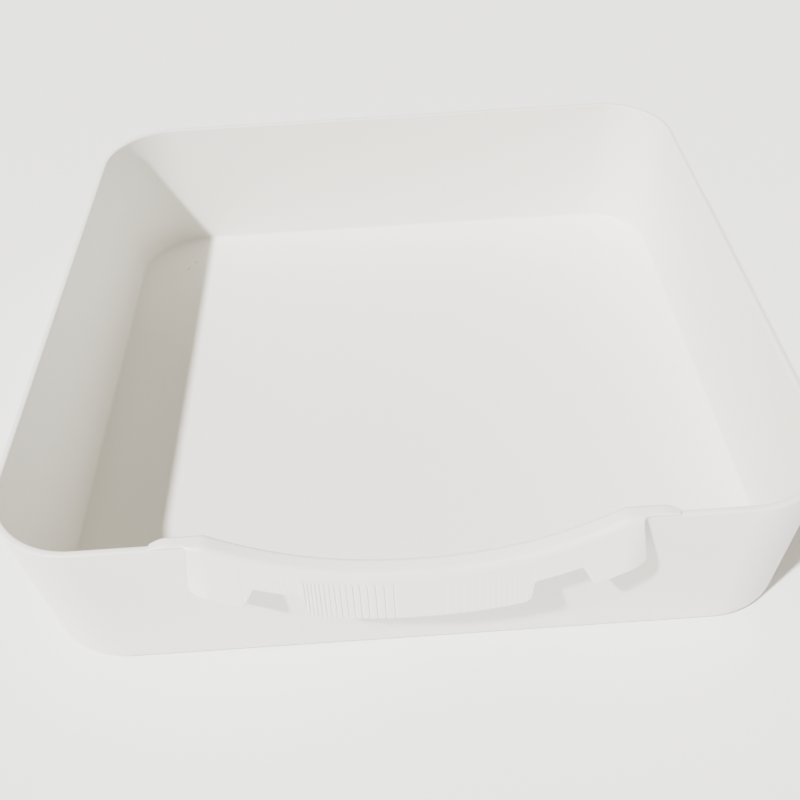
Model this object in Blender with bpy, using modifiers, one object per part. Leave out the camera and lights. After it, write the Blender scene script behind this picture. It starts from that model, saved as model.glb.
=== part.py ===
"""A developing tray for paper prints: an open rectangular basin of white polypropylene with one broad pouring
lip, and a ribbed grip moulding that clips over the rim along that lip.

Metres, +Z up. The origin is the middle of the flat underside, on the bench. The pouring lip faces -Y.
"""

import math

import bmesh
import bpy

# ---- driving dimensions ------------------------------------------------------------------------------------

WIDTH = 0.350  # over the rim, along X
DEPTH = 0.334  # over the rim, along Y, without the lip
HEIGHT = 0.0835
WALL = 0.003
DRAFT = 0.0035  # how far each wall leans in from rim to base
FRONT_FLAT = 0.118  # the front rim's outline has a point this far each side, between the lip and the corners
RIM_CORNER = 0.041  # plan radius of the outer corners at the rim
BASE_CORNER = 0.039
BASE_FILLET = 0.0045
RIM_ROUND = 0.0007

LIP_HALF = 0.0825  # the lip runs this far each side of the middle
LIP_BOW = 0.0080  # how far the rim stands out at the middle of the lip
LIP_DROP = 0.0135  # and how far it sinks there
LIP_POWER = 2.2  # a little fuller than a parabola

GRIP_WALL = 0.0018
GRIP_GAP = 0.0006  # fit between the grip and the rim that it clips over
GRIP_HALF = 0.104  # the saddle over the rim runs this far each side
GRIP_LEG = 0.007  # how far the grip reaches down inside the tray
GRIP_REACH = 0.0117
GRIP_FALL = 0.0210
SADDLE_LEG = 0.0016  # how far the saddle's ends reach below the rim
SADDLE_FLUSH = 0.0920  # from here to its ends the saddle is flush with the wall's outer face
SADDLE_TAPER = 0.0985  # and from here it narrows to the rim's own width
SHOULDER = 0.0002  # the centre of the shoulder's round, inward of the wall's outer face
SHOULDER_ROUND = 0.0030
INNER_ROUND = 0.0018
GRIP_END_COLUMNS = (0.0865, 0.0905, 0.0970, 0.1065)  # the last one is trimmed at GRIP_HALF

FOOT_POINTS = (0.0140, 0.0280)  # the middle panel's foot is faceted here
CENTRE_HALF = 0.0460  # the skirt's middle panel
CENTRE_FOOT = 0.0448  # and its half width at the foot
NOTCH_OUTER = 0.0650  # where each notch ends and the end panel starts
NOTCH_HEIGHT = 0.58
NOTCH_ROUND = 0.0015
PANEL_FOOT = 0.0700  # inner foot corner of an end panel
PANEL_FOOT_FALL = 1.05
PANEL_OUTER = 0.0885  # outer edge of an end panel, at its top
PANEL_OUTER_FALL = 0.97
PANEL_FLARE = 0.0030  # how much wider the panel is at its foot
PANEL_ROUND = 0.0030
WIDE_ROUND = 0.0035  # at the middle panel's foot and under the saddle's ends
CUTTER_MARGIN = 0.020  # how far the cutters stand clear of the grip

CORNER_STEPS = 8
FILLET_STEPS = 4
WALL_STEPS = 3
LIP_STEPS = 16  # columns in each half of the lip

WHITE = (0.86, 0.85, 0.82, 1.0)


# ---- scene and materials -----------------------------------------------------------------------------------


def clear_scene():
    for obj in list(bpy.data.objects):
        bpy.data.objects.remove(obj, do_unlink=True)


def collection(name):
    made = bpy.data.collections.new(name)
    bpy.context.scene.collection.children.link(made)
    return made


def plastic(name, colour, roughness):
    material = bpy.data.materials.new(name)
    material.use_nodes = True
    shader = material.node_tree.nodes["Principled BSDF"]
    shader.inputs["Base Color"].default_value = colour
    shader.inputs["Roughness"].default_value = roughness
    shader.inputs["Metallic"].default_value = 0.0
    return material


def object_from(bm, name, home):
    mesh = bpy.data.meshes.new(name)
    bm.to_mesh(mesh)
    bm.free()
    obj = bpy.data.objects.new(name, mesh)
    home.objects.link(obj)
    return obj


# ---- the lip, which both pieces follow ---------------------------------------------------------------------


def lip_share(x):
    """1 at the middle of the lip, falling to 0 at its ends and beyond."""
    return max(0.0, 1.0 - (abs(x) / LIP_HALF) ** LIP_POWER)


def rim_point(x):
    """(y, z) of the front rim's outer top edge."""
    share = lip_share(x)
    return -DEPTH / 2 - LIP_BOW * share, HEIGHT - LIP_DROP * share


def wall_axes(x):
    """Unit vectors in the YZ plane: down along the front wall's outer face, and inward from it."""
    y, z = rim_point(x)
    down_y, down_z = (-DEPTH / 2 + DRAFT) - y, -z
    length = math.hypot(down_y, down_z)
    down = (down_y / length, down_z / length)
    return down, (-down[1], down[0])


def at_rim(x, inward, below):
    """The point that lies this far inward of, and below, the front rim's outer top edge."""
    y, z = rim_point(x)
    down, inner = wall_axes(x)
    return (
        x,
        y + inward * inner[0] + below * down[0],
        z + inward * inner[1] + below * down[1],
    )


def lip_columns():
    return [LIP_HALF * k / LIP_STEPS for k in range(-LIP_STEPS, LIP_STEPS + 1)]


# ---- the basin ---------------------------------------------------------------------------------------------


def outline(half_width, half_depth, corner):
    """Points (x, y) with their outward normals, anticlockwise from the front left corner's end."""
    reach = half_width - corner
    run = half_depth - corner
    points = [(x, -half_depth, 0.0, -1.0) for x in (-FRONT_FLAT, *lip_columns(), FRONT_FLAT)]
    for centre_x, centre_y, start in (
        (reach, -run, -90),
        (reach, run, 0),
        (-reach, run, 90),
        (-reach, -run, 180),
    ):
        for step in range(CORNER_STEPS + 1):
            angle = math.radians(start + 90 * step / CORNER_STEPS)
            normal = (math.cos(angle), math.sin(angle))
            points.append(
                (
                    centre_x + corner * normal[0],
                    centre_y + corner * normal[1],
                    *normal,
                )
            )
    return points


def basin_rings():
    """Rings of points from the flat underside, round the fillet and up the walls to the rim."""
    foot = outline(WIDTH / 2 - DRAFT, DEPTH / 2 - DRAFT, BASE_CORNER)
    rim = outline(WIDTH / 2, DEPTH / 2, RIM_CORNER)
    rings = []
    for step in range(FILLET_STEPS + 1):
        angle = math.radians(90 * step / FILLET_STEPS)
        inset = BASE_FILLET * (1 - math.sin(angle))
        z = BASE_FILLET * (1 - math.cos(angle))
        rings.append([(x - inset * nx, y - inset * ny, z) for x, y, nx, ny in foot])
    low = rings[-1]
    top = []
    for x, y, nx, ny in rim:
        on_front = ny == -1.0 and nx == 0.0
        top.append((x, *rim_point(x)) if on_front else (x, y, HEIGHT))
    for step in range(1, WALL_STEPS + 1):
        share = step / WALL_STEPS
        rings.append(
            [
                tuple(a + (b - a) * share for a, b in zip(start, end))
                for start, end in zip(low, top)
            ]
        )
    return rings


def make_basin(home):
    bm = bmesh.new()
    rings = [[bm.verts.new(point) for point in ring] for ring in basin_rings()]
    bm.faces.new(reversed(rings[0]))
    for lower, upper in zip(rings, rings[1:]):
        count = len(lower)
        for i in range(count):
            j = (i + 1) % count
            bm.faces.new((lower[i], lower[j], upper[j], upper[i]))
    basin = object_from(bm, "tray_basin", home)
    shell = basin.modifiers.new("wall", "SOLIDIFY")
    shell.thickness = WALL
    shell.offset = -1
    shell.use_even_offset = True
    edge = basin.modifiers.new("rim rounding", "BEVEL")
    edge.width = RIM_ROUND
    edge.segments = 2
    edge.limit_method = "ANGLE"
    edge.angle_limit = math.radians(50)
    basin.data.materials.append(plastic("basin_polypropylene", WHITE, 0.42))
    basin.data.shade_smooth()
    basin.data.set_sharp_from_angle(angle=math.radians(35))
    return basin


# ---- the grip ----------------------------------------------------------------------------------------------


def arc(centre, radius, start, end, steps):
    """Points of a circular arc in (inward, below) coordinates, with the angles in degrees."""
    points = []
    for step in range(steps + 1):
        angle = math.radians(start + (end - start) * step / steps)
        points.append(
            (centre[0] + radius * math.cos(angle), centre[1] + radius * math.sin(angle))
        )
    return points


def grip_section():
    """The outer face, as (inward, below) from the rim's outer edge: up inside, over and down the skirt."""
    skin = GRIP_GAP + GRIP_WALL
    inside = WALL + skin
    foot = (-GRIP_REACH, GRIP_FALL - skin)
    section = [(inside, GRIP_LEG), (inside, GRIP_LEG / 2)]
    section += arc((inside - INNER_ROUND, -skin + INNER_ROUND), INNER_ROUND, 0, -90, 4)
    middle = (SHOULDER, -skin + SHOULDER_ROUND)
    to_foot = (foot[0] - middle[0], foot[1] - middle[1])
    tangent = math.atan2(to_foot[1], to_foot[0]) + math.acos(SHOULDER_ROUND / math.hypot(*to_foot))
    shoulder = arc(middle, SHOULDER_ROUND, -90, math.degrees(tangent) - 360, 5)
    section += shoulder
    start = shoulder[-1]
    for share in (0.25, 0.5, 0.75, 1.0):
        section.append(
            (
                start[0] + (foot[0] - start[0]) * share,
                start[1] + (foot[1] - start[1]) * share,
            )
        )
    return section


def skirt_height(x, share):
    """Height of the skirt's face at this share of its fall, from 0 at the saddle's top to 1 at the foot."""
    return rim_point(x)[1] + GRIP_GAP + GRIP_WALL - GRIP_FALL * share


def rounded(corners, steps=4):
    """An outline from (x, z, radius) corners, with each corner of a nonzero radius turned into an arc."""
    points = []
    for i, (x, z, radius) in enumerate(corners):
        if radius == 0:
            points.append((x, z))
            continue
        before, after = corners[i - 1], corners[(i + 1) % len(corners)]
        to_before = (before[0] - x, before[1] - z)
        to_after = (after[0] - x, after[1] - z)
        long_before, long_after = math.hypot(*to_before), math.hypot(*to_after)
        one = (to_before[0] / long_before, to_before[1] / long_before)
        two = (to_after[0] / long_after, to_after[1] / long_after)
        half = math.acos(max(-1, min(1, one[0] * two[0] + one[1] * two[1]))) / 2
        tangent = min(radius / math.tan(half), 0.45 * long_before, 0.45 * long_after)
        start = (x + one[0] * tangent, z + one[1] * tangent)
        end = (x + two[0] * tangent, z + two[1] * tangent)
        for step in range(steps + 1):
            t = step / steps
            points.append(
                tuple(
                    (1 - t) ** 2 * a + 2 * t * (1 - t) * corner + t**2 * b
                    for a, corner, b in zip(start, (x, z), end)
                )
            )
    return points


def grip_front_outline():
    """(x, z) of the grip seen from the front: a middle panel, two notches, two end panels, and the saddle."""
    foot_outer = PANEL_OUTER + PANEL_FLARE
    ledge = HEIGHT - SADDLE_LEG
    end = GRIP_HALF + CUTTER_MARGIN
    right = [(x, skirt_height(x, 1.0), 0) for x in FOOT_POINTS]
    right += [
        (CENTRE_FOOT, skirt_height(CENTRE_HALF, 1.0), WIDE_ROUND),
        (CENTRE_HALF, skirt_height(CENTRE_HALF, NOTCH_HEIGHT), NOTCH_ROUND),
        (NOTCH_OUTER, skirt_height(NOTCH_OUTER, NOTCH_HEIGHT), NOTCH_ROUND),
        (PANEL_FOOT, skirt_height(PANEL_FOOT, PANEL_FOOT_FALL), PANEL_ROUND),
        (foot_outer, skirt_height(foot_outer, PANEL_OUTER_FALL), PANEL_ROUND),
        (PANEL_OUTER, ledge, WIDE_ROUND),
        (end, ledge, 0),
        (end, HEIGHT + CUTTER_MARGIN, 0),
    ]
    left = [(-x, z, radius) for x, z, radius in reversed(right)]
    return rounded([(0.0, skirt_height(0.0, 1.0), 0), *right, *left])


def grip_plan_outline():
    """(x, y) of the grip from above: full depth between the saddle's ends, which are flush and tapered."""
    face = -DEPTH / 2
    inside = face + WALL + GRIP_GAP + GRIP_WALL
    right = [
        (SADDLE_FLUSH, face - 2 * CUTTER_MARGIN),
        (SADDLE_FLUSH, face - GRIP_GAP),
        (SADDLE_FLUSH + GRIP_WALL, face),
        (GRIP_HALF, face),
        (GRIP_HALF, face + WALL),
        (SADDLE_TAPER, inside),
        (SADDLE_TAPER, face + CUTTER_MARGIN),
    ]
    return right + [(-x, y) for x, y in reversed(right)]


def make_prism(name, outline, travel, home):
    """A closed prism: the outline's points, carried along the travel vector."""
    bm = bmesh.new()
    face = bm.faces.new([bm.verts.new(point) for point in outline])
    grown = bmesh.ops.extrude_face_region(bm, geom=[face])
    moved = [v for v in grown["geom"] if isinstance(v, bmesh.types.BMVert)]
    bmesh.ops.translate(bm, verts=moved, vec=travel)
    bmesh.ops.recalc_face_normals(bm, faces=bm.faces)
    prism = object_from(bm, name, home)
    prism.hide_render = True
    prism.display_type = "WIRE"
    return prism


def keep_inside(obj, prism):
    """Trims the object to the prism. The exact solver loses this thin sheet, so the manifold one is used."""
    shape = obj.modifiers.new(prism.name, "BOOLEAN")
    shape.operation = "INTERSECT"
    shape.solver = "MANIFOLD"
    shape.object = prism


def make_grip(home, helpers):
    columns = [-x for x in reversed(GRIP_END_COLUMNS)] + lip_columns() + list(GRIP_END_COLUMNS)
    section = grip_section()
    bm = bmesh.new()
    grid = [
        [bm.verts.new(at_rim(x, inward, below)) for inward, below in section]
        for x in columns
    ]
    for left, right in zip(grid, grid[1:]):
        for i in range(len(section) - 1):
            bm.faces.new((left[i], right[i], right[i + 1], left[i + 1]))
    bmesh.ops.reverse_faces(bm, faces=bm.faces)
    grip = object_from(bm, "front_grip", home)
    sheet = grip.modifiers.new("sheet", "SOLIDIFY")
    sheet.thickness = GRIP_WALL
    sheet.offset = -1
    sheet.use_even_offset = True
    near = -DEPTH / 2 - 2 * CUTTER_MARGIN
    front = [(x, near, z) for x, z in grip_front_outline()]
    plan = [(x, y, HEIGHT / 2) for x, y in grip_plan_outline()]
    keep_inside(grip, make_prism("grip_front_outline", front, (0, 4 * CUTTER_MARGIN, 0), helpers))
    keep_inside(grip, make_prism("grip_plan_outline", plan, (0, 0, HEIGHT), helpers))
    grip.data.materials.append(plastic("grip_polypropylene", WHITE, 0.38))
    grip.data.shade_smooth()
    grip.data.set_sharp_from_angle(angle=math.radians(35))
    return grip


clear_scene()
parts = collection("developing_tray")
cutters = collection("cutters")
make_basin(parts)
make_grip(parts, cutters)
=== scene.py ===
# %% [markdown]
# # A developing tray in satin white polypropylene
# A developing tray is a bare basin that holds a few litres of developer, stop bath or fixer while a print
# lies in it. This one has two mouldings. The basin is a deep box with leaning walls, round corners and one
# broad dip in its front rim, over which it is emptied. The grip is a thin clip that sits over that dip like
# a saddle, with a skirt that stands off the wall so that the fingertips find a hold.
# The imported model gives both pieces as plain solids. Here each is made again with the fine shape and the
# finish that a moulded piece has, and the two replace the plain ones.

# %% Load the frame
import math

import bmesh
import bpy
import numpy as np
from mathutils import Matrix, Vector


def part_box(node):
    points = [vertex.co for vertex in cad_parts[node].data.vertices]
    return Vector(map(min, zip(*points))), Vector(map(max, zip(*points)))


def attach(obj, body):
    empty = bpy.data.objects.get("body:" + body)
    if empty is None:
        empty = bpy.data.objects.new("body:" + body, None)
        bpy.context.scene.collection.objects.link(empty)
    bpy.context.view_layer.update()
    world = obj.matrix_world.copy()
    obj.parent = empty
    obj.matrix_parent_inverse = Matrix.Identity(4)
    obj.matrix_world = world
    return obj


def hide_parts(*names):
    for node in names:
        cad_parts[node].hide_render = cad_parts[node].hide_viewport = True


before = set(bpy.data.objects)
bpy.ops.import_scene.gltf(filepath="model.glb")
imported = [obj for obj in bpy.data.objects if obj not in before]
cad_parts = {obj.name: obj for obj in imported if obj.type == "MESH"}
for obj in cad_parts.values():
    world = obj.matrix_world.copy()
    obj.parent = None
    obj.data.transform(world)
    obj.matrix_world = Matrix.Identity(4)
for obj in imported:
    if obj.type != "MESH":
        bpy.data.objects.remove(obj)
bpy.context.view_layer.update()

# %% [markdown]
# ## Measures
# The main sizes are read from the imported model, so that the fine pieces and the solids agree. The front
# wall is the back wall's mirror image apart from the lip, so what the front sticks out further is the lip's
# bow. The wall thickness, the lean and the corner radii are the mould's own values, in metres.

# %% Read the main sizes
basin_low, basin_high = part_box("tray_basin")
HALF_WIDTH = round(basin_high.x, 4)
HALF_DEPTH = round(basin_high.y, 4)
basin_points = [vertex.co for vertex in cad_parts["tray_basin"].data.vertices]
RIM_HEIGHT = round(max(point.z for point in basin_points if point.y > 0), 4)
LIP_BOW = round(-basin_low.y - HALF_DEPTH, 4)
print(f"rim {2 * HALF_WIDTH:.3f} x {2 * HALF_DEPTH:.3f} m, {RIM_HEIGHT:.4f} m high, lip bow {LIP_BOW:.4f} m")

WALL = 0.0030
LEAN = 0.0035  # how far the walls come in from the rim to the base
RIM_CORNER = 0.0405
BASE_FILLET = 0.0045
RIM_ROUND = 0.0008
LIP_HALF = 0.0825
LIP_DROP = 0.0135
LIP_POWER = 2.2  # a little fuller than a parabola
SMOOTH_ANGLE = math.radians(35)  # faces that meet at less than this shade as one

# %% [markdown]
# ## Small helpers
# Most tools in edit mode work on what is selected, so each step starts by selecting faces, edges or points
# by where they are. These helpers do that, and open and close edit mode around one step.

# %% Selecting and editing
def add_only(primitive, **settings):
    """Adds a primitive with nothing else selected, and returns its object."""
    bpy.ops.object.select_all(action="DESELECT")
    primitive(**settings)
    return bpy.context.object


def work_on(obj):
    if bpy.context.mode != "OBJECT":
        bpy.ops.object.mode_set(mode="OBJECT")
    bpy.ops.object.select_all(action="DESELECT")
    obj.select_set(True)
    bpy.context.view_layer.objects.active = obj


def pick(obj, kind, test):
    """Selects only the vertices, edges or faces that pass the test, and returns how many there are."""
    work_on(obj)
    bpy.ops.object.mode_set(mode="EDIT")
    bpy.context.tool_settings.mesh_select_mode = [kind == each for each in ("verts", "edges", "faces")]
    bpy.ops.mesh.select_all(action="DESELECT")
    edit = bmesh.from_edit_mesh(obj.data)
    edit.normal_update()
    count = 0
    for part in getattr(edit, kind):
        if test(part):
            part.select_set(True)
            count += 1
    bmesh.update_edit_mesh(obj.data)
    return count


def middle(edge):
    return (edge.verts[0].co + edge.verts[1].co) / 2


def finish_edit():
    bpy.ops.object.mode_set(mode="OBJECT")


def apply_modifier(obj, name, kind, **settings):
    """Adds a modifier, sets it up and applies it."""
    work_on(obj)
    modifier = obj.modifiers.new(name, kind)
    for key, value in settings.items():
        setattr(modifier, key, value)
    bpy.ops.object.modifier_apply(modifier=modifier.name)


def count_triangles(obj):
    return sum(len(face.vertices) - 2 for face in obj.data.polygons)


# %% [markdown]
# ## The lip's line
# The rim runs level round the tray, except in the middle of the front wall, where it sinks and bows out.
# One formula gives both, and the basin's rim and the grip both follow it. A power a little over 2 keeps the
# middle of the lip fuller than a parabola, with a slight corner where the lip starts.

# %% Formula of the lip
def lip_share(x):
    """1 at the middle of the lip, falling to 0 at its ends and beyond."""
    return max(0.0, 1.0 - (abs(x) / LIP_HALF) ** LIP_POWER)


def rim_point(x):
    """(y, z) of the front rim's outer top edge."""
    share = lip_share(x)
    return -HALF_DEPTH - LIP_BOW * share, RIM_HEIGHT - LIP_DROP * share


print("middle of the lip:", rim_point(0.0), "its end:", rim_point(LIP_HALF))

# %% [markdown]
# ## The basin
# The real basin is one injection moulding of even thickness. It could be made as a box with a smaller box
# cut from it, but then the wall would have to be kept even by hand. It is easier to model only its outer
# skin, as a box without a lid, and to give the skin its thickness at the end.
# The box starts as a cube of the rim's size. Its four upright edges are rounded, its bottom is drawn in a
# little for the lean, and the bottom edge gets its fillet.

# %% Box with round corners
basin = add_only(
    bpy.ops.mesh.primitive_cube_add,
    size=1.0,
    location=(0, 0, RIM_HEIGHT / 2),
    scale=(2 * HALF_WIDTH, 2 * HALF_DEPTH, RIM_HEIGHT),
)
basin.name = "basin_moulding"
bpy.ops.object.transform_apply(location=True, rotation=True, scale=True)

pick(basin, "faces", lambda face: face.normal.z > 0.9)
bpy.ops.mesh.delete(type="ONLY_FACE")
uprights = pick(basin, "edges", lambda edge: abs(edge.verts[0].co.z - edge.verts[1].co.z) > WALL)
bpy.ops.mesh.bevel(offset=RIM_CORNER, segments=20, affect="EDGES")
pick(basin, "verts", lambda vertex: vertex.co.z < WALL)
bpy.ops.transform.resize(value=(1 - LEAN / HALF_WIDTH, 1 - LEAN / HALF_DEPTH, 1))
pick(basin, "edges", lambda edge: middle(edge).z < WALL)
bpy.ops.mesh.bevel(offset=BASE_FILLET, segments=6, affect="EDGES")
finish_edit()
print("upright edges rounded:", uprights, "triangles so far:", count_triangles(basin))

# %% [markdown]
# Now the lip. The front wall is cut into narrow columns with bisect, the points at the top of each column
# are pulled down and out by the formula, and level cuts then give the wall enough faces to shade smoothly.

# %% Pull the lip
LIP_COLUMNS = 30  # columns in each half of the lip
FRONT_LEVELS = (0.014, 0.024, 0.036, 0.048, 0.060)  # heights of the level cuts


def is_front(face):
    return face.calc_center_median().y < -HALF_DEPTH + 2 * BASE_FILLET


def cut_front(place, normal):
    pick(basin, "faces", is_front)
    bpy.ops.mesh.bisect(plane_co=place, plane_no=normal)


for step in range(-LIP_COLUMNS, LIP_COLUMNS + 1):
    cut_front((LIP_HALF * step / LIP_COLUMNS, 0, 0), (1, 0, 0))

for step in range(-LIP_COLUMNS + 1, LIP_COLUMNS):
    column = LIP_HALF * step / LIP_COLUMNS
    pick(
        basin,
        "verts",
        lambda vertex: vertex.co.z > RIM_HEIGHT - RIM_ROUND
        and vertex.co.y < 0
        and abs(vertex.co.x - column) < RIM_ROUND,
    )
    share = lip_share(column)
    bpy.ops.transform.translate(value=(0, -LIP_BOW * share, -LIP_DROP * share))

for level in FRONT_LEVELS:
    cut_front((0, 0, level), (0, 0, 1))
finish_edit()
lip_points = [vertex.co for vertex in basin.data.vertices if vertex.co.y < -HALF_DEPTH - LIP_BOW / 2]
print("lowest point of the lip's bowed part:", min(point.z for point in lip_points))

# %% [markdown]
# The skin becomes a wall with Solidify, which grows inwards so that the outer size stays. Even thickness
# keeps 3 mm round the fillet too. A small Bevel then breaks the rim's two sharp edges, as the mould's own
# edge does.

# %% Wall and rim
apply_modifier(basin, "wall", "SOLIDIFY", thickness=WALL, offset=-1, use_even_offset=True)
apply_modifier(
    basin,
    "rim rounding",
    "BEVEL",
    width=RIM_ROUND,
    segments=3,
    limit_method="ANGLE",
    angle_limit=math.radians(50),
)
print("basin triangles:", count_triangles(basin))

# %% [markdown]
# The flat faces stay flat and the rounded ones shade smoothly: Blender splits the shading only where two
# faces meet at more than 35 degrees.
# The floor of the real tray carries a few small marks of its mould: two shallow dimples in one corner,
# where a pin met the plastic, and the gate in the middle of the underside, through which the plastic was
# fed. They are cut with Boolean differences, which need small closed cutters and leave the rest of the skin
# alone.

# %% Marks of the mould
def cut_with(obj, cutter, solver="EXACT"):
    """Takes the cutter away from the object and removes the cutter."""
    apply_modifier(obj, "cut", "BOOLEAN", object=cutter, operation="DIFFERENCE", solver=solver)
    bpy.data.objects.remove(cutter, do_unlink=True)


FLOOR_DIMPLES = ((-0.1385, 0.1251), (-0.1342, 0.1321))
DIMPLE_RADIUS = 0.0016
DIMPLE_RISE = 0.0010  # height of the cutter's centre above the floor
GATE_RADIUS = 0.0070
GATE_CUTTER = 0.0012  # the cutter's height, half of which goes into the underside
for x, y in FLOOR_DIMPLES:
    ball = add_only(
        bpy.ops.mesh.primitive_uv_sphere_add,
        segments=24,
        ring_count=16,
        radius=DIMPLE_RADIUS,
        location=(x, y, WALL + DIMPLE_RISE),
        scale=(1.0, 1.25, 1.0),
    )
    cut_with(basin, ball)

gate = add_only(
    bpy.ops.mesh.primitive_cylinder_add,
    vertices=48,
    radius=GATE_RADIUS,
    depth=GATE_CUTTER,
    location=(0, 0, 0),
)
cut_with(basin, gate)
print("basin triangles with its marks:", count_triangles(basin))

work_on(basin)
bpy.ops.object.shade_smooth_by_angle(angle=SMOOTH_ANGLE)

# %% [markdown]
# ## The grip
# The real grip is a thin moulding that clips over the lip. Its section is the same all along: a short leg
# inside the basin, a flat top over the rim, a round shoulder, and a face that slopes away from the wall
# down to a free edge. What changes along it is where the rim is, how long the skirt hangs, and how far it
# stands off. Such a piece could be cut from a block, but its thin skirt would be hard to keep even. Here it
# is made as a flat blank, like the blank of a folded sheet: an outline in x and s, where s is the distance
# along the section from the leg's edge. The blank is extruded to the skin's thickness, its edges are
# rounded, and then each of its points is carried to its place over the rim by one formula.
# No primitive has such an outline, so the blank's one flat face is built from computed points. The bend
# sets the points straight from the formula too, because no operator follows a section and a rim that both
# change.

# %% Section of the grip
GRIP_GAP = 0.0001  # a hair of air between the saddle and the rim, all that shows of the joint
GRIP_TOP = 0.0023  # height of the saddle's top above the rim
GRIP_WALL = 0.0018
GRIP_LEG = 0.0070
GRIP_REACH = 0.0113  # how far the skirt's foot stands out from the rim's edge
GRIP_FALL = 0.0210
GRIP_END = 0.0885  # where the skirt ends
SADDLE_END = 0.1040
SADDLE_TAPER = 0.0975  # where the saddle starts to thin out towards its tips
SHOULDER = 0.0002
SHOULDER_ROUND = 0.0042
INNER_ROUND = 0.0018


def arc_points(centre, radius, start, end, steps):
    turns = (start + (end - start) * step / steps for step in range(1, steps + 1))
    return [(centre[0] + radius * math.cos(turn), centre[1] + radius * math.sin(turn)) for turn in turns]


def grip_line():
    """The section's outer line as (inward, below) points, from the leg's edge to past the skirt's foot."""
    inside = WALL + GRIP_TOP
    foot = (-GRIP_REACH, GRIP_FALL - GRIP_TOP)
    line = [(inside, GRIP_LEG + 0.002), (inside, -GRIP_TOP + INNER_ROUND)]
    line += arc_points((inside - INNER_ROUND, -GRIP_TOP + INNER_ROUND), INNER_ROUND, 0, -math.pi / 2, 8)
    line.append((SHOULDER, -GRIP_TOP))
    centre = (SHOULDER, -GRIP_TOP + SHOULDER_ROUND)
    to_foot = (foot[0] - centre[0], foot[1] - centre[1])
    tangent = math.atan2(to_foot[1], to_foot[0]) + math.acos(SHOULDER_ROUND / math.hypot(*to_foot)) - math.tau
    line += arc_points(centre, SHOULDER_ROUND, -math.pi / 2, tangent, 12)
    last = line[-1]
    line.append(foot)
    line.append((foot[0] + 0.3 * (foot[0] - last[0]), foot[1] + 0.3 * (foot[1] - last[1])))
    return np.array(line)


LINE = grip_line()
ARC = np.concatenate(([0.0], np.cumsum(np.hypot(*np.diff(LINE, axis=0).T))))
S_LEG = float(ARC[1] - (GRIP_LEG + GRIP_TOP - INNER_ROUND))  # where the leg's edge is
S_INNER = float(ARC[1])
S_TOP = float(ARC[9])
S_EDGE = float(ARC[10])
S_FACE = float(ARC[22])
S_FOOT = float(ARC[23])
print(f"the top lies at s {S_TOP:.4f}-{S_EDGE:.4f} m, the face at s {S_FACE:.4f}-{S_FOOT:.4f} m")


def section_at(s):
    """(inward, below) and the section's own direction at a distance along it."""
    place = np.array([np.interp(s, ARC, LINE[:, 0]), np.interp(s, ARC, LINE[:, 1])])
    ahead = np.array([np.interp(s + 2e-4, ARC, LINE[:, 0]), np.interp(s + 2e-4, ARC, LINE[:, 1])])
    behind = np.array([np.interp(s - 2e-4, ARC, LINE[:, 0]), np.interp(s - 2e-4, ARC, LINE[:, 1])])
    along = (ahead - behind) / np.hypot(*(ahead - behind))
    return place, along


def fall_to_s(share):
    """The distance along the section where the face has fallen by a share of the skirt's full fall."""
    start = GRIP_TOP + LINE[22][1]
    return S_FACE + (S_FOOT - S_FACE) * (share * GRIP_FALL - start) / (GRIP_FALL - start)

# %% [markdown]
# The outline of the blank is listed corner by corner for one half and mirrored. Going out from the middle
# it has the ribbed panel's foot, a notch, the plain end panel, the tip of the saddle and the leg.
# The tips are flush with the rim, and thin out so that they end in it without a step.

# %% Outline of the blank
HALF_OUTLINE = (  # x, s, corner radius
    (0.0448, fall_to_s(1.00), 0.0035),
    (0.0460, fall_to_s(0.58), 0.0015),
    (0.0650, fall_to_s(0.58), 0.0015),
    (0.0700, fall_to_s(1.05), 0.0030),
    (0.0915, fall_to_s(1.03), 0.0030),
    (GRIP_END, S_EDGE + 0.0004, 0.0035),
    (SADDLE_END, S_EDGE + 0.0002, 0.0008),
    (SADDLE_END, S_TOP + 0.0007, 0.0010),
    (SADDLE_TAPER, S_INNER - 0.0006, 0.0015),
    (0.0945, S_INNER - 0.0006, 0.0015),
    (0.0900, S_LEG, 0.0015),
)


def round_corners(corners, steps=6):
    """The outline with each corner turned into an arc of its own radius."""
    points = []
    for index, (x, y, radius) in enumerate(corners):
        here = np.array([x, y])
        before = np.array(corners[index - 1][:2]) - here
        after = np.array(corners[(index + 1) % len(corners)][:2]) - here
        long_before, long_after = np.hypot(*before), np.hypot(*after)
        before, after = before / long_before, after / long_after
        half = math.acos(max(-1.0, min(1.0, float(before @ after)))) / 2
        back = min(radius / math.tan(half), 0.45 * long_before, 0.45 * long_after)
        bisector = (before + after) / np.hypot(*(before + after))
        centre = here + bisector * back / math.cos(half)
        reach = back * math.tan(half)
        start, end = here + before * back - centre, here + after * back - centre
        first = math.atan2(start[1], start[0])
        turn = (math.atan2(end[1], end[0]) - first + math.pi) % math.tau - math.pi
        for step in range(steps + 1):
            angle = first + turn * step / steps
            points.append((centre[0] + reach * math.cos(angle), centre[1] + reach * math.sin(angle)))
    return points


outline = round_corners(HALF_OUTLINE + tuple((-x, s, radius) for x, s, radius in reversed(HALF_OUTLINE)))
blank_mesh = bpy.data.meshes.new("grip_moulding")
blank_mesh.from_pydata([(x, -s, 0.0) for x, s in outline], [], [tuple(range(len(outline)))])
grip = bpy.data.objects.new("grip_moulding", blank_mesh)
bpy.context.scene.collection.objects.link(grip)
print("points in the blank's outline:", len(outline))

# %% [markdown]
# The blank gets the skin's thickness and a small round on every edge, as the mould gives. It is then cut
# into narrow columns and rows, because only a fine grid can follow the bends. Round each groove five
# columns lie close together, so that the groove is a real hollow with a round bottom.
# The ribs crowd together towards the ends of the panel, so each spacing is a little wider than the one
# before it.

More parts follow.
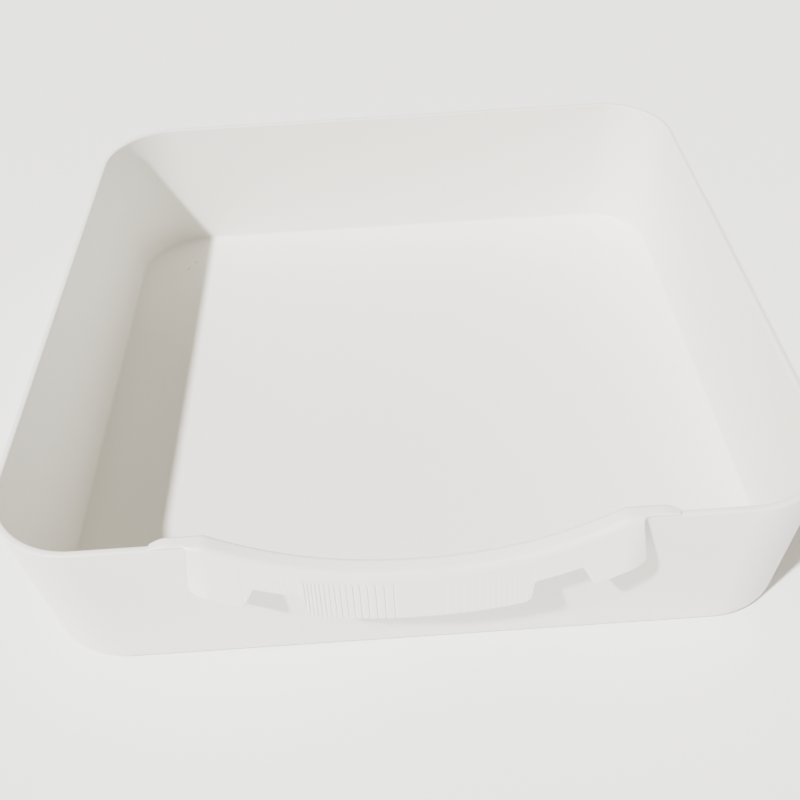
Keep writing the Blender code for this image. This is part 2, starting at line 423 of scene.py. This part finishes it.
# %% Blank with thickness, columns and rows
GROOVES = 16
GROOVE_START = 0.0461 - 0.0012  # the outermost groove, just inside the panel's side
GROOVE_PITCH = 0.0014 * 35 / 36.6  # between the two outermost grooves
GROOVE_GROWTH = 1.075  # each gap is this much wider than the one outside it
GROOVE_HALF = 0.00045
GROOVE_DEPTH = 0.00048
groove_lines = []
for step in range(GROOVES):
    travelled = GROOVE_PITCH * (GROOVE_GROWTH**step - 1) / (GROOVE_GROWTH - 1)
    groove_lines.append(GROOVE_START - travelled)

EDGE_ROUND = 0.00045
pick(grip, "faces", lambda face: True)
bpy.ops.mesh.normals_make_consistent(inside=False)
bpy.ops.mesh.extrude_region_move(TRANSFORM_OT_translate={"value": (0, 0, -GRIP_WALL)})
pick(grip, "faces", lambda face: True)
bpy.ops.mesh.normals_make_consistent(inside=False)
level_edges = pick(grip, "edges", lambda edge: abs(edge.verts[0].co.z - edge.verts[1].co.z) < 1e-5)
bpy.ops.mesh.bevel(offset=EDGE_ROUND, segments=3, affect="EDGES", clamp_overlap=False)
print("edges rounded:", level_edges)


def cut_all(place, normal):
    pick(grip, "faces", lambda face: True)
    bpy.ops.mesh.bisect(plane_co=place, plane_no=normal)


FINE_HALF = 0.00042
FINE_DEPTH = 0.00014
fine_lines = [0.0480 + 0.00125 * step for step in range(18)]
COLUMN_STEP = 0.0025
columns = [COLUMN_STEP * step for step in range(42)]
for line in groove_lines:
    columns = [x for x in columns if abs(x - line) > 1.7 * GROOVE_HALF]
for line in groove_lines:
    columns += [line + GROOVE_HALF * share for share in (-1, -0.5, 0, 0.5, 1)]
for line in fine_lines:
    columns += [line + FINE_HALF * share for share in (-1, 0, 1)]
for x in sorted(set(columns)):
    cut_all((x, 0, 0), (1, 0, 0))
    if x > 0:
        cut_all((-x, 0, 0), (1, 0, 0))

rows = [float(s) for s in ARC[1:24]] + [S_EDGE - 0.0012, S_EDGE - 0.0022]
FACE_ROWS = (0.04, 0.08, 0.12, 0.16, 0.24, 0.30, 0.36, 0.48, 0.60, 0.72, 0.84, 0.93)
rows += [S_FACE + (S_FOOT - S_FACE) * share for share in FACE_ROWS]
for s in sorted(rows):
    cut_all((0, -s, 0), (0, 1, 0))
finish_edit()
print("columns:", 2 * len(columns) - 1, "rows:", len(rows), "triangles:", count_triangles(grip))

# %% [markdown]
# Each point of the blank is now carried over the rim. Its x stays, its s picks the place and direction on
# the section, and its depth in the blank becomes depth below the section's outer line. The section rides on
# the rim's own line, so the grip dips and bows with the lip. Both ends of the skirt turn back a little
# towards the wall.

# %% Bend the blank over the rim
END_TURN = 0.0838  # where the skirt starts to turn back
END_SHARE = 0.34  # how much of its reach the skirt gives up at its very end
RIDGE_TOP = 0.10  # share of the face above the grooves
RIGHT_DEPTH = 0.10  # depth of the right half's grooves as a share of the left half's
TIP_THINNING = 0.55  # how much of its thickness the saddle loses at its tips


def soft_step(value):
    value = max(0.0, min(1.0, value))
    return value * value * (3 - 2 * value)


def carry(point):
    x, s, depth = point.x, -point.y, -point.z
    place, along = section_at(s)
    inner_side = np.array([along[1], -along[0]])
    close = 1 - soft_step((s - S_EDGE) / (S_FACE - S_EDGE))
    full = GRIP_WALL + (GRIP_TOP - GRIP_WALL - GRIP_GAP) * close
    thin = 1.0
    if abs(x) > SADDLE_TAPER:
        thin = 1 - TIP_THINNING * soft_step((abs(x) - SADDLE_TAPER) / (SADDLE_END - SADDLE_TAPER))
    down = full * (1 - thin) + depth / GRIP_WALL * full * thin
    face = (s - S_FACE) / (S_FOOT - S_FACE)
    if face > 0 and depth < GRIP_WALL / 2:
        nearest = min(abs(abs(x) - line) for line in groove_lines)
        strength = 1.0 if x < 0 else RIGHT_DEPTH
        hollow = max(0.0, 1 - (nearest / GROOVE_HALF) ** 2)
        down += GROOVE_DEPTH * strength * hollow * soft_step((face - RIDGE_TOP) / 0.06)
        fine = min(abs(abs(x) - line) for line in fine_lines)
        down += FINE_DEPTH * strength * max(0.0, 1 - (fine / FINE_HALF) ** 2) * soft_step((face - 0.05) / 0.1)
    inward, below = place + inner_side * down
    if inward < 0 and abs(x) > END_TURN:
        inward *= 1 - END_SHARE * max(0.0, (abs(x) - END_TURN) / (GRIP_END + 0.003 - END_TURN))
    y, z = rim_point(x)
    slope = Vector((-HALF_DEPTH + LEAN - y, -z)).normalized()
    inner = Vector((-slope.y, slope.x))
    return Vector((x, y + inward * inner.x + below * slope.x, z + inward * inner.y + below * slope.y))


for vertex in grip.data.vertices:
    vertex.co = carry(vertex.co)
grip.data.update()
work_on(grip)
bpy.ops.object.mode_set(mode="EDIT")
bpy.ops.mesh.select_all(action="SELECT")
bpy.ops.mesh.normals_make_consistent(inside=False)
bpy.ops.object.mode_set(mode="OBJECT")
bpy.ops.object.shade_smooth_by_angle(angle=SMOOTH_ANGLE)
for axis, letter in enumerate("xyz"):
    places = [vertex.co[axis] for vertex in grip.data.vertices]
    print(f"grip {letter}: {min(places):.4f} to {max(places):.4f} m")

# %% [markdown]
# ## The finish
# Both pieces are satin polypropylene, a soft off-white plastic that scatters a little light below its
# surface and has a broad, dull shine. The mould leaves a fine grain and a very slight unevenness, and
# handling adds faint scuffs that only change the shine. All of it is made from noise on the object's own
# coordinates, so it stays with the piece in any view.

# %% Satin polypropylene
def satin_plastic(name, colour, roughness, grain_size, grain_depth):
    material = bpy.data.materials.new(name)
    material.use_nodes = True
    nodes, links = material.node_tree.nodes, material.node_tree.links
    shader = nodes["Principled BSDF"]
    shader.inputs["Base Color"].default_value = (*colour, 1)
    shader.inputs["IOR"].default_value = 1.49
    shader.inputs["Subsurface Weight"].default_value = 0.12
    shader.inputs["Subsurface Radius"].default_value = (1.0, 0.9, 0.75)
    shader.inputs["Subsurface Scale"].default_value = 0.0016
    place = nodes.new("ShaderNodeTexCoord").outputs["Object"]

    def noise(scale, detail=2.0, stretch=None):
        texture = nodes.new("ShaderNodeTexNoise")
        texture.inputs["Scale"].default_value = scale
        texture.inputs["Detail"].default_value = detail
        source = place
        if stretch:
            mapping = nodes.new("ShaderNodeMapping")
            mapping.inputs["Scale"].default_value = stretch
            links.new(place, mapping.inputs["Vector"])
            source = mapping.outputs["Vector"]
        links.new(source, texture.inputs["Vector"])
        return texture.outputs["Fac"]

    def remap(source, low, high, to_low, to_high):
        node = nodes.new("ShaderNodeMapRange")
        for socket, value in zip(("From Min", "From Max", "To Min", "To Max"), (low, high, to_low, to_high)):
            node.inputs[socket].default_value = value
        links.new(source, node.inputs["Value"])
        return node.outputs["Result"]

    def add(first, second):
        node = nodes.new("ShaderNodeMath")
        node.operation = "ADD"
        links.new(first, node.inputs[0])
        links.new(second, node.inputs[1])
        return node.outputs["Value"]

    cloud = noise(9.0, 3.0)
    scuff = noise(60.0, 6.0, (1.0, 0.12, 1.0))
    base = remap(cloud, 0.3, 0.7, roughness - 0.03, roughness + 0.04)
    links.new(add(base, remap(scuff, 0.62, 0.78, 0.0, 0.10)), shader.inputs["Roughness"])

    tint = nodes.new("ShaderNodeMix")
    tint.data_type = "RGBA"
    tint.inputs[6].default_value = (*colour, 1)
    tint.inputs[7].default_value = (colour[0] * 0.985, colour[1] * 0.98, colour[2] * 0.965, 1)
    links.new(remap(noise(5.0, 2.0), 0.35, 0.65, 0.0, 1.0), tint.inputs["Factor"])
    links.new(tint.outputs[2], shader.inputs["Base Color"])

    wave = nodes.new("ShaderNodeBump")
    wave.inputs["Strength"].default_value = 0.35
    wave.inputs["Distance"].default_value = 0.00035
    links.new(noise(14.0, 1.0), wave.inputs["Height"])
    grain = nodes.new("ShaderNodeBump")
    grain.inputs["Strength"].default_value = 0.30
    grain.inputs["Distance"].default_value = grain_depth
    links.new(noise(grain_size, 2.0), grain.inputs["Height"])
    links.new(wave.outputs["Normal"], grain.inputs["Normal"])
    links.new(grain.outputs["Normal"], shader.inputs["Normal"])
    return material


basin.data.materials.append(satin_plastic("basin_polypropylene", (0.865, 0.862, 0.82), 0.38, 1500.0, 0.00002))
grip.data.materials.append(satin_plastic("grip_polypropylene", (0.885, 0.884, 0.86), 0.34, 1700.0, 0.000015))
print("materials:", [material.name for material in bpy.data.materials if material.users])

# %% [markdown]
# ## Onto the frame
# Both pieces stand still, so both ride on the tray's one body, and each replaces its plain solid.

# %% Attach the pieces
for piece, node in ((basin, "tray_basin"), (grip, "front_grip")):
    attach(piece, "root")
    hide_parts(node)
print("tray moulding:", count_triangles(basin), "grip moulding:", count_triangles(grip), "triangles")

# %% [markdown]
# ## Floor, light and camera
# The tray stands on a plain white table. One soft sun from the front left draws the wall's shadow across
# the floor of the basin, and an even warm sky fills the shaded sides.

# %% Floor and light
floor = add_only(bpy.ops.mesh.primitive_plane_add, size=12.0, location=(0, 0, -0.0002))
floor.name = "table"
white = bpy.data.materials.new("table_white")
white.use_nodes = True
white.node_tree.nodes["Principled BSDF"].inputs["Base Color"].default_value = (0.93, 0.93, 0.93, 1)
white.node_tree.nodes["Principled BSDF"].inputs["Roughness"].default_value = 0.9
floor.data.materials.append(white)

SUN_TRAVEL = Vector((1.10, 0.90, -1.85))
sun = bpy.data.lights.new("sun", "SUN")
sun.energy = 10.5
sun.angle = math.radians(3.0)
sun_object = bpy.data.objects.new("sun", sun)
sun_object.rotation_euler = SUN_TRAVEL.to_track_quat("-Z", "Y").to_euler()
bpy.context.scene.collection.objects.link(sun_object)

world = bpy.data.worlds.new("sky")
world.use_nodes = True
world.node_tree.nodes["Background"].inputs["Color"].default_value = (1.0, 0.87, 0.70, 1)
world.node_tree.nodes["Background"].inputs["Strength"].default_value = 0.60
bpy.context.scene.world = world
print("sun:", sun.energy, "sky:", world.node_tree.nodes["Background"].inputs["Strength"].default_value)

# %% [markdown]
# The camera looks down into the tray from the front, a little rolled, as one held by hand is.

# %% Camera
YAW, PITCH, ROLL = 0.0193338, 0.7784619, 0.0512100
ahead = Vector((math.sin(YAW) * math.cos(PITCH), math.cos(YAW) * math.cos(PITCH), -math.sin(PITCH)))
level_right = Vector((math.cos(YAW), -math.sin(YAW), 0))
level_down = ahead.cross(level_right)
camera_right = math.cos(ROLL) * level_right + math.sin(ROLL) * level_down
camera_down = math.cos(ROLL) * level_down - math.sin(ROLL) * level_right
lens = bpy.data.cameras.new("camera")
lens.sensor_width = 36
lens.lens = 42.13
lens.shift_x = -0.01458
lens.shift_y = -0.00508
camera = bpy.data.objects.new("camera", lens)
turned = Matrix((camera_right, -camera_down, -ahead)).transposed().to_4x4()
camera.matrix_world = Matrix.Translation((-0.00323, -0.38845, 0.37733)) @ turned
bpy.context.scene.collection.objects.link(camera)
bpy.context.scene.camera = camera
print("camera at", [round(value, 3) for value in camera.location], "lens", lens.lens)
